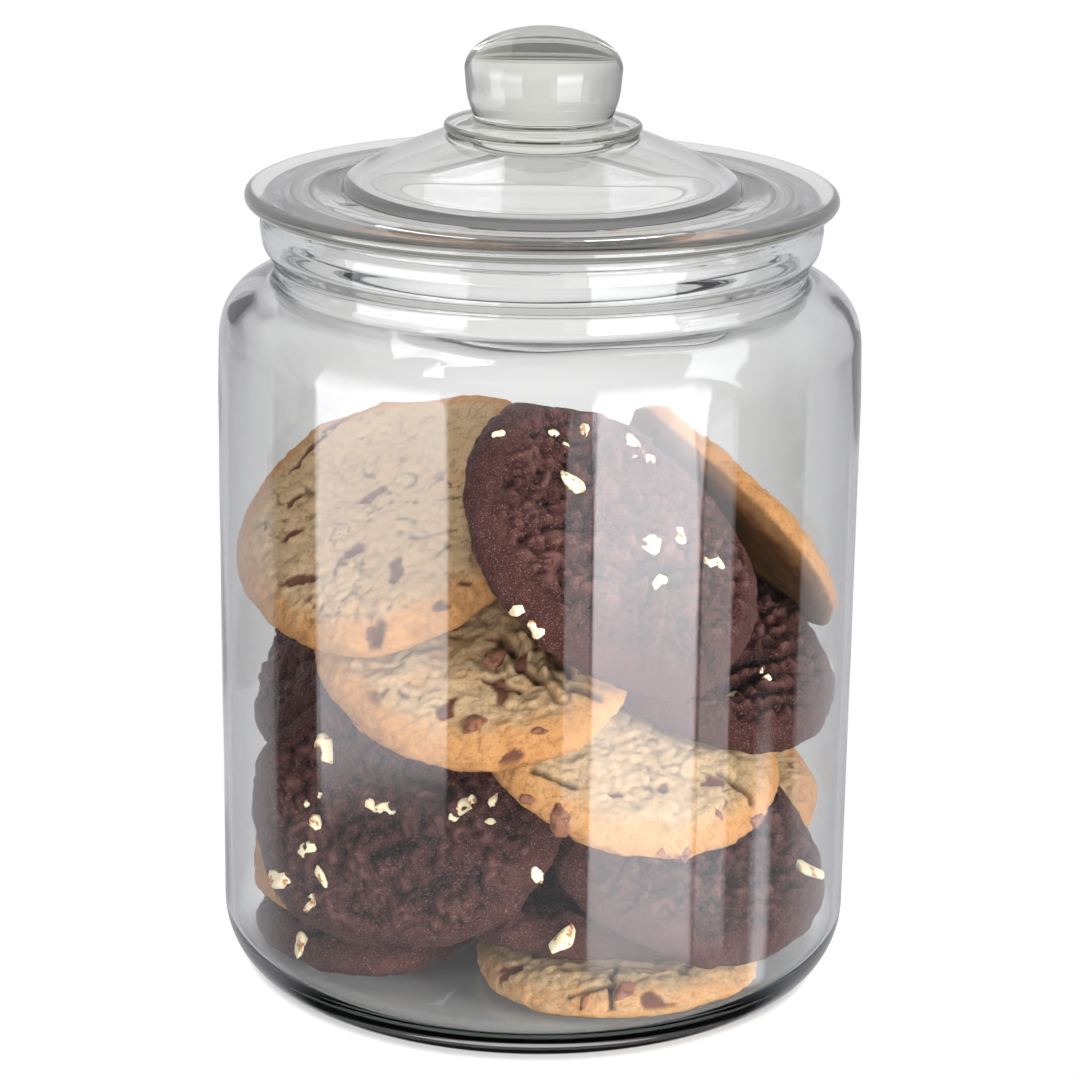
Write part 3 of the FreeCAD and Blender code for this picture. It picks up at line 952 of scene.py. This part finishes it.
def studio_world():
    """White to look at, pale grey as light, and a room with windows where the glass mirrors it."""
    world = bpy.data.worlds.new("studio")
    scene.world = world
    world.use_nodes = True
    tree = world.node_tree
    tree.nodes.clear()
    mirrored = after(tree, "Glossy", 1)
    seen = blend(tree, mirrored, 1.0, reflections(tree))
    level = blend(tree, after(tree, "Diffuse", 1), seen, ROOM_LIGHT)
    colour = mix(tree, mirrored, WHITE, COOL)
    ground = node(tree, "ShaderNodeBackground", {0: colour, 1: level})
    node(tree, "ShaderNodeOutputWorld", {0: ground.outputs[0]})


FLOOR_HALF = 1
FLOOR_COLOUR = grey(0.62)
# Distances from the jar's middle (m): the floor glows white past the foot, then fades out. Without glow, the
# floor under and by the foot has painted shade over its real shadow.
GLOW_FROM, GLOW_FULL, GLOW = 0.082, 0.090, 0.86
FADE_FROM, FADE_GONE = 0.088, 0.125


def floor_material():
    """A pale floor that keeps the shadow by the foot, with painted shade under and by the foot where it
    doesn't glow, and is lost in the white further out.
    """
    m, t = new_material("floor")
    flat = node(t, "ShaderNodeBsdfDiffuse", {0: FLOOR_COLOUR})
    away = node(t, "ShaderNodeVectorMath", {0: place_on(t)}, operation="LENGTH").outputs["Value"]
    # Painted shade: no glow under and by the foot.
    glow = node(t, "ShaderNodeEmission", {0: WHITE, 1: ramp(t, away, GLOW_FROM, GLOW_FULL, 0.0, GLOW)})
    both = node(t, "ShaderNodeAddShader", {0: flat.outputs[0], 1: glow.outputs[0]})
    bounced = after(t, "Diffuse", 1)
    lit = node(t, "ShaderNodeMixShader", {0: bounced, 1: both.outputs[0], 2: flat.outputs[0]})
    gone = node(t, "ShaderNodeBsdfTransparent")
    hidden = arithmetic(t, "MAXIMUM", ramp(t, away, FADE_FROM, FADE_GONE), after(t, "Glossy", 1))
    last = node(t, "ShaderNodeMixShader", {0: hidden, 1: lit.outputs[0], 2: gone.outputs[0]})
    node(t, "ShaderNodeOutputMaterial", {0: last.outputs[0]})
    return m


def add_floor():
    mesh = bpy.data.meshes.new("floor")
    corners = [(-FLOOR_HALF, -FLOOR_HALF, 0), (FLOOR_HALF, -FLOOR_HALF, 0),
               (FLOOR_HALF, FLOOR_HALF, 0), (-FLOOR_HALF, FLOOR_HALF, 0)]
    mesh.from_pydata(corners, [], [(0, 1, 2, 3)])
    mesh.materials.append(floor_material())
    linked("floor", mesh)


# Lamps: name, place and the height they face on the axis (m), width and height (m), power (W).
LAMPS = (
    ("window_left", (-1.0, -0.75, 0.50), 0.1, 0.6, 0.8, 9),
    ("window_side", (1.15, -0.30, 0.25), 0.1, 0.4, 0.5, 14),
    ("table_bounce", (0.15, -0.85, 0.03), 0.07, 0.8, 0.25, 8.5),
    ("window_right", (0.92, -0.80, 0.26), 0.09, 0.35, 0.5, 20),
    ("overhead", (0.1, -0.30, 1.2), 0.1, 0.6, 0.6, 7.5),
    ("backdrop", (-0.5, 1.1, 0.45), 0.1, 0.7, 0.7, 6),
)


def area_light(name, place, faces, width, height, power):
    """A soft lamp that lights the cookies and floor but isn't itself seen in the glass."""
    data = bpy.data.lights.new(name, "AREA")
    data.shape = "RECTANGLE"
    data.size = width
    data.size_y = height
    data.energy = power
    obj = linked(name, data)
    obj.location = place
    obj.rotation_euler = (Vector((0, 0, faces)) - Vector(place)).to_track_quat("-Z", "Y").to_euler()
    obj.visible_camera = False
    obj.visible_glossy = False
    obj.visible_transmission = False


DOWN = math.radians(17.01)
ROLL = math.radians(0.74)
DISTANCE = 1.024
AIM = Vector((0.00063, 0, 0.1264))
SENSOR = 36
LENS = 116.8


def add_camera():
    """Looks down on the jar from its front."""
    data = bpy.data.cameras.new("camera")
    data.sensor_width = SENSOR
    data.lens = LENS
    camera = linked("camera", data)
    look = Vector((0, math.cos(DOWN), -math.sin(DOWN)))
    turn = look.to_track_quat("-Z", "Y").to_matrix().to_4x4()
    place = Matrix.Translation(AIM - look * DISTANCE)
    camera.matrix_world = place @ turn @ Matrix.Rotation(ROLL, 4, "Z")
    scene.camera = camera


studio_world()
add_floor()
for lamp in LAMPS:
    area_light(*lamp)
add_camera()
scene.view_settings.view_transform = "Standard"
scene.cycles.max_bounces = 20
scene.cycles.glossy_bounces = 10
scene.cycles.transmission_bounces = 20
